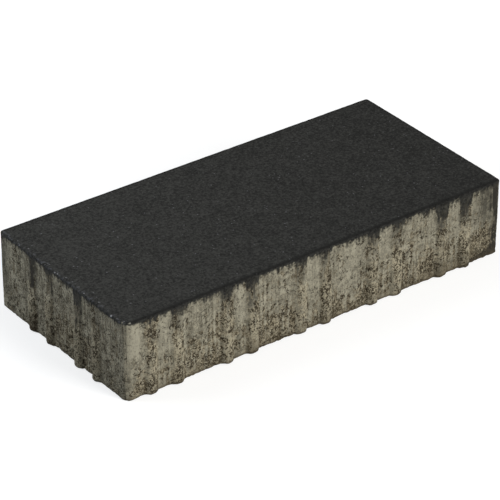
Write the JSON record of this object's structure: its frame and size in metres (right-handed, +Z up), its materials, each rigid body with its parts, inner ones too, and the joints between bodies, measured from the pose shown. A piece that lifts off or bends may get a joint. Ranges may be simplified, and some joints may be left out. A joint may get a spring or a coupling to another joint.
{
  "type": "paving block",
  "caption": "Rectangular pressed-concrete paving block with a dark wearing face and half-round spacer ribs on its grey sides, for laying on a sand bed with narrow joints.",
  "frame": {"origin": "middle of the bedding face, at the bottom of the block", "axes": "+X along the block, +Y across it, +Z up, from the bedding face to the wearing face"},
  "size_m": [0.432, 0.207, 0.08],
  "materials": {
    "concrete": "pressed concrete: fine black facing on top, grey-beige open-textured core on the sides"
  },
  "bodies": {
    "root": {"paving_block": "concrete"}
  },
  "joints": []
}
